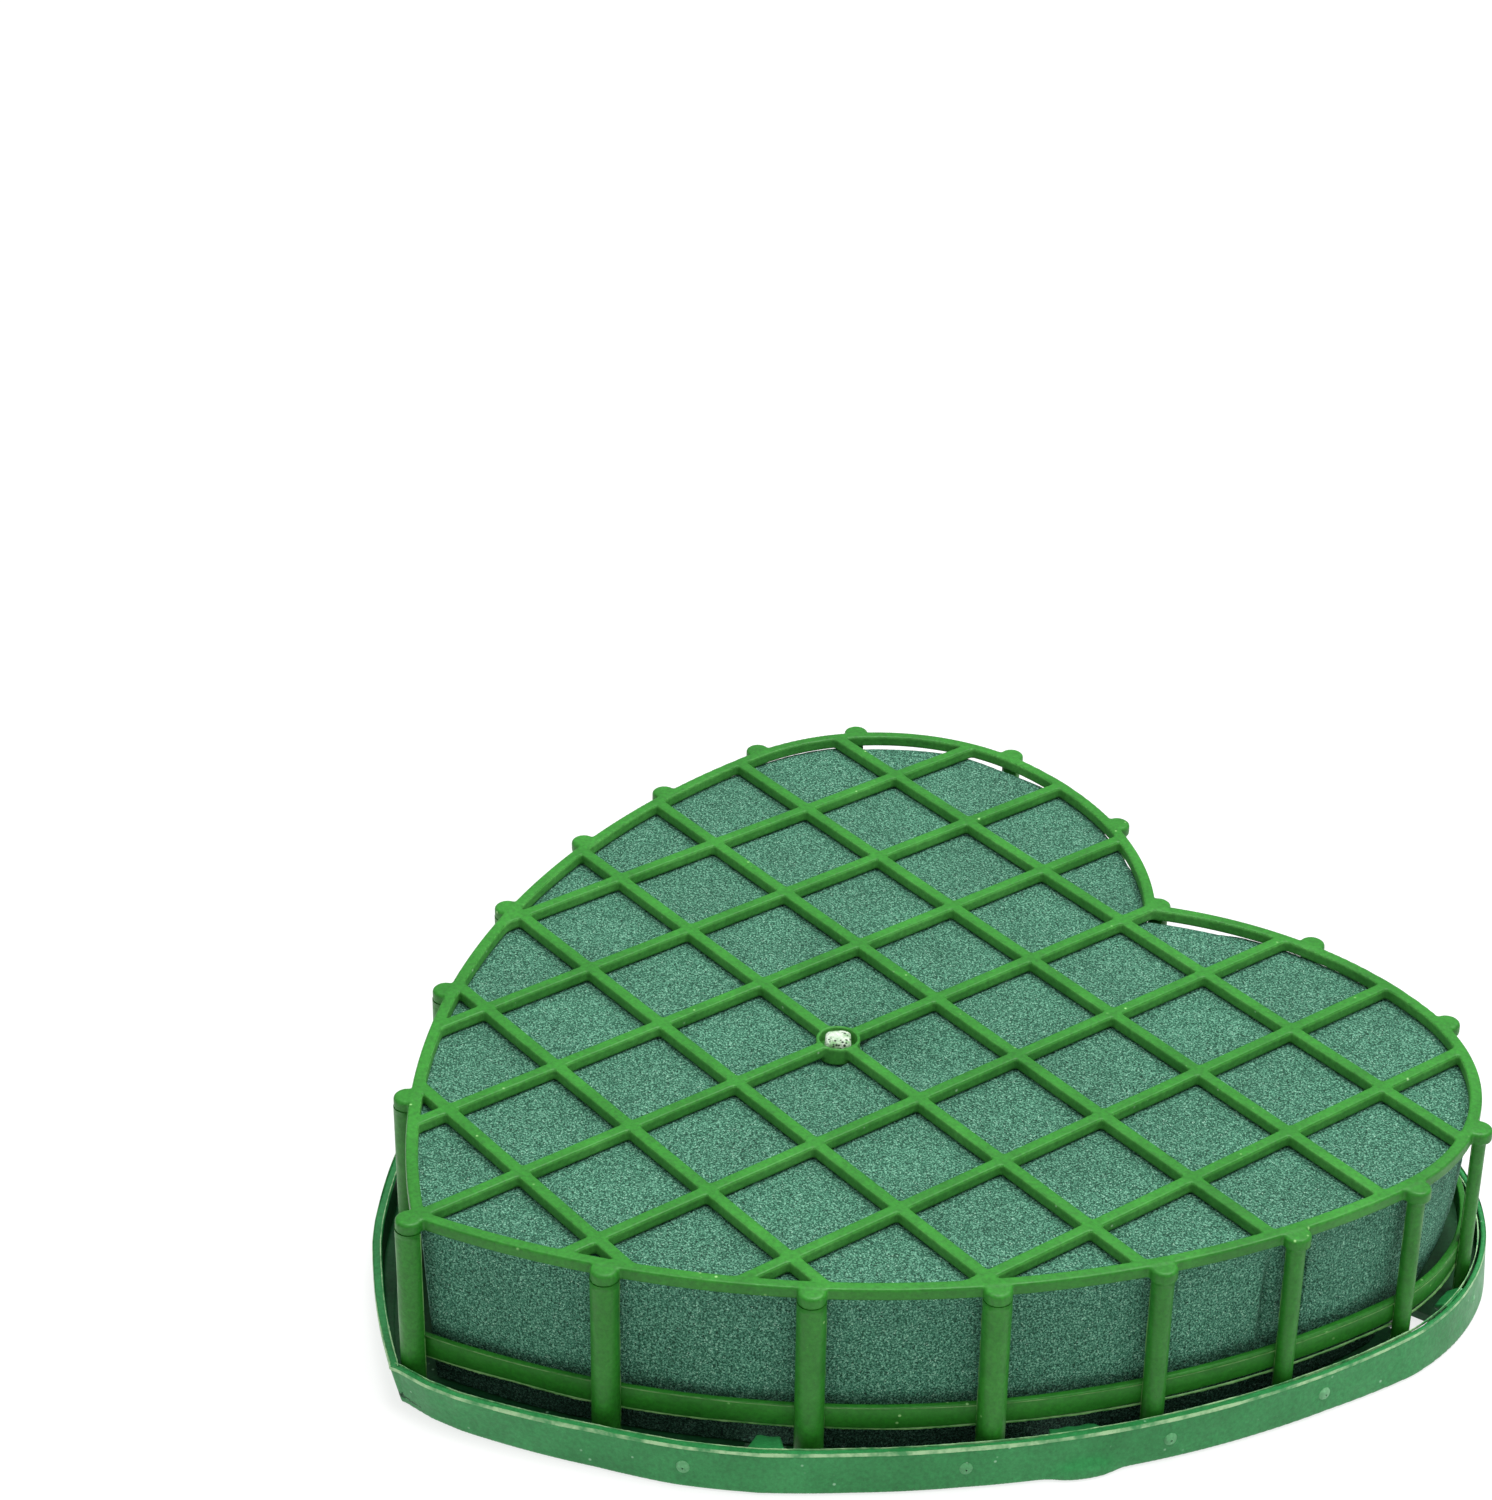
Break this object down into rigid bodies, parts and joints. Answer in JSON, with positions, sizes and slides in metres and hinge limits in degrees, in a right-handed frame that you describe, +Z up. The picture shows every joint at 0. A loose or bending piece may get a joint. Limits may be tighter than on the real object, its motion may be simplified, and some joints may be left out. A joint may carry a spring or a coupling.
{
  "type": "floral foam brick",
  "caption": "Heart-shaped floral foam block standing in a shallow plastic tray under a clip-in lattice cage that holds flower stems.",
  "frame": {"origin": "on the underside of the tray, under the middle of its length and width", "axes": "+Z up, out of the cage's top; +Y towards the notch of the heart, -Y towards its tip; +X across the lobes; the heart is symmetric about the YZ plane"},
  "size_m": [0.1718, 0.1728, 0.0332],
  "materials": {
    "tray_plastic": "satin",
    "cage_plastic": "satin",
    "foam": "matt, speckled",
    "gate_scar": "rough"
  },
  "bodies": {
    "tray": {"tray_floor": "tray_plastic", "tray_wall": "tray_plastic", "snap_lugs": "tray_plastic", "wall_pips": "tray_plastic", "edge_pads": "tray_plastic"},
    "foam": {"foam_heart": "foam"},
    "cage": {"top_rim": "cage_plastic", "cross_bars": "cage_plastic", "long_bars": "cage_plastic", "centre_boss": "cage_plastic", "gate_stub": "gate_scar", "posts": "cage_plastic", "mid_band": "cage_plastic"}
  },
  "joints": [
    {"name": "foam_lift", "type": "slide", "parent": "tray", "child": "foam", "axis": [0, 0, 1], "range_m": [0, 0.05]},
    {"name": "cage_lift", "type": "slide", "parent": "foam", "child": "cage", "axis": [0, 0, 1], "range_m": [0, 0.06]}
  ]
}
